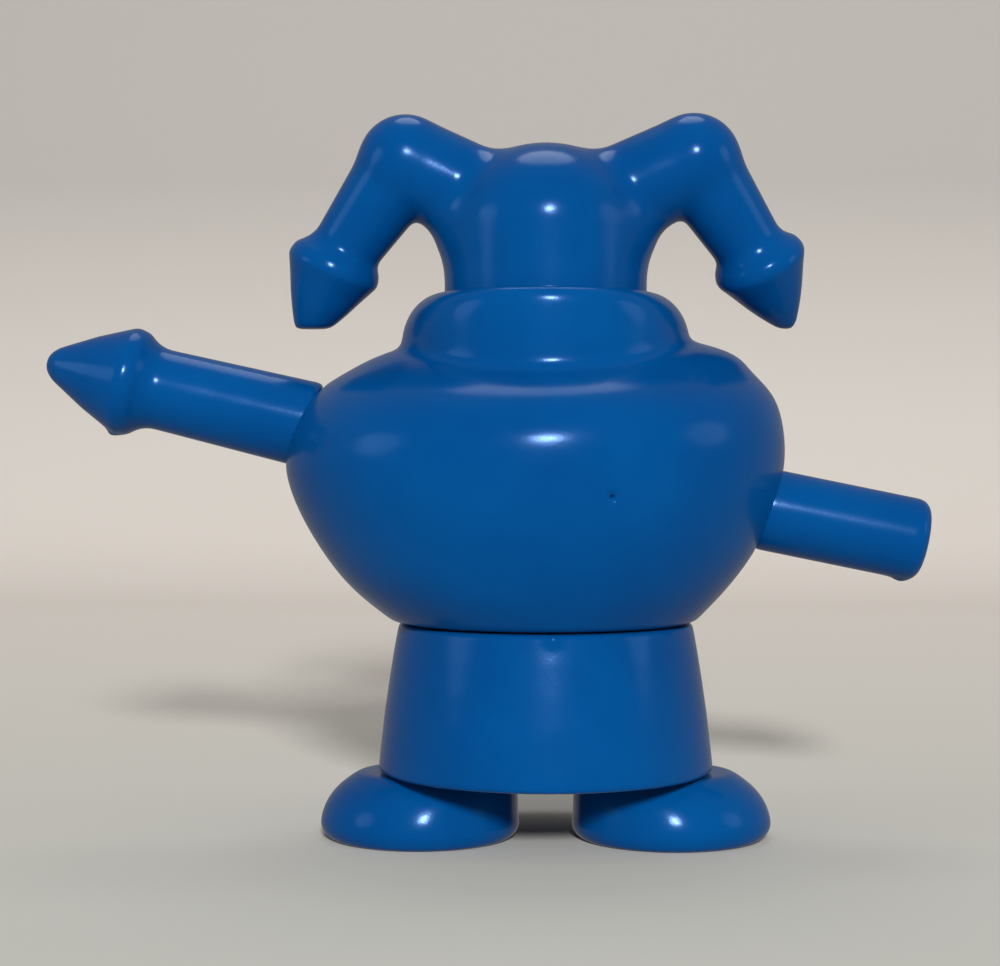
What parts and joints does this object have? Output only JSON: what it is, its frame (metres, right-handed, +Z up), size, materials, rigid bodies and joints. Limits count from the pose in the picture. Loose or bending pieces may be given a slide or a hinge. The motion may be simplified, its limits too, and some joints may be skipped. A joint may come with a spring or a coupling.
{
  "type": "articulated vinyl figurine",
  "caption": "Stout faceless vinyl figure in a drooping two-horned cap, with a rolled collar, one spear-tipped and one blunt arm, a flared skirt and pebble feet.",
  "frame": {"origin": "on the floor, under the middle of the whole width and depth; the figure's own vertical axis is 9.92 mm to the right of it, because the pointed arm is the longer one", "axes": "+Z up, parallel to the waist and neck axis; +X to the right of a viewer on the -Y side, towards the blunt arm; -Y is the side shown to that viewer"},
  "size_m": [0.1476, 0.07, 0.1213],
  "materials": {
    "blue_vinyl": "satin soft vinyl, self-coloured"
  },
  "bodies": {
    "head": {"head": "blue_vinyl"},
    "torso": {"torso": "blue_vinyl"},
    "pointed_arm": {"pointed_arm": "blue_vinyl"},
    "blunt_arm": {"blunt_arm": "blue_vinyl"},
    "skirt": {"skirt": "blue_vinyl"},
    "left_foot": {"left_foot": "blue_vinyl"},
    "right_foot": {"right_foot": "blue_vinyl"}
  },
  "joints": [
    {"name": "waist_swivel", "type": "hinge", "parent": "skirt", "child": "torso", "pos_m": [0.00992, 0, 0.0362], "axis": [0, 0, 1], "continuous": true},
    {"name": "neck_swivel", "type": "hinge", "parent": "torso", "child": "head", "pos_m": [0.00992, 0, 0.0845], "axis": [0, 0, 1], "continuous": true},
    {"name": "pointed_arm_swivel", "type": "hinge", "parent": "torso", "child": "pointed_arm", "pos_m": [-0.02848, 0, 0.0685], "axis": [-0.9725, 0, 0.2331], "continuous": true},
    {"name": "blunt_arm_swivel", "type": "hinge", "parent": "torso", "child": "blunt_arm", "pos_m": [0.04422, 0, 0.0552], "axis": [0.9798, 0, -0.2], "continuous": true},
    {"name": "left_foot_swivel", "type": "hinge", "parent": "skirt", "child": "left_foot", "pos_m": [-0.00558, 0, 0], "axis": [0, 0, 1], "range_deg": [-60, 60]},
    {"name": "right_foot_swivel", "type": "hinge", "parent": "skirt", "child": "right_foot", "pos_m": [0.02542, 0, 0], "axis": [0, 0, 1], "range_deg": [-60, 60]}
  ]
}
